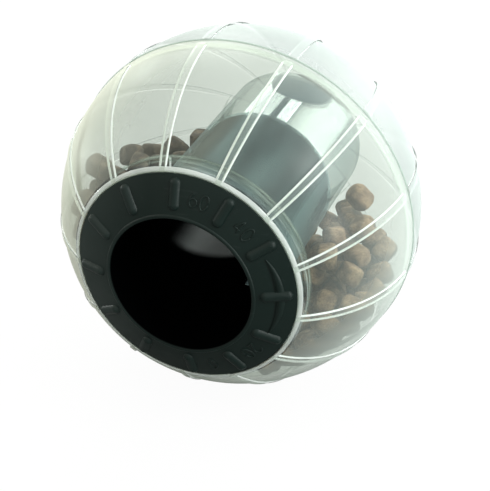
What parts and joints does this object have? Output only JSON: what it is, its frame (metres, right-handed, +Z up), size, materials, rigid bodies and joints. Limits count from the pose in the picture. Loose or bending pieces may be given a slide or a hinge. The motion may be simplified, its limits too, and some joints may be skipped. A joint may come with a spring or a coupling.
{
  "type": "treat dispensing ball",
  "caption": "Clear ribbed treat ball in halves, with a turning dial and mouth tube whose window meters the treats lying inside.",
  "frame": {"origin": "centre of the ball's sphere", "axes": "the ball's axis lies along Y with the dial and mouth facing -Y, +Z up, and the treats lie low, at -Z"},
  "size_m": [0.1393, 0.1303, 0.1394],
  "materials": {
    "clear_shell": "clear moulded plastic with a faint mint tint, polished",
    "smoky_sleeve": "smoky clear moulded plastic, polished",
    "dark_dial": "dark grey-green moulded plastic, satin outside and glossy in the bore",
    "kibble": "baked dry treat, matt brown with a rough crust"
  },
  "bodies": {
    "rear_half": {"rear_shell": "clear_shell", "window_sleeve": "smoky_sleeve", "treats_rear": "kibble"},
    "front_half": {"front_shell": "clear_shell", "treats_front": "kibble"},
    "dial": {"dial": "dark_dial"}
  },
  "joints": [
    {"name": "halves_part", "type": "slide", "parent": "rear_half", "child": "front_half", "axis": [0, -1, 0], "range_m": [0, 0.08]},
    {"name": "dial_turn", "type": "hinge", "parent": "front_half", "child": "dial", "pos_m": [0, -0.055, 0], "axis": [0, -1, 0], "range_deg": [0, 60]}
  ]
}
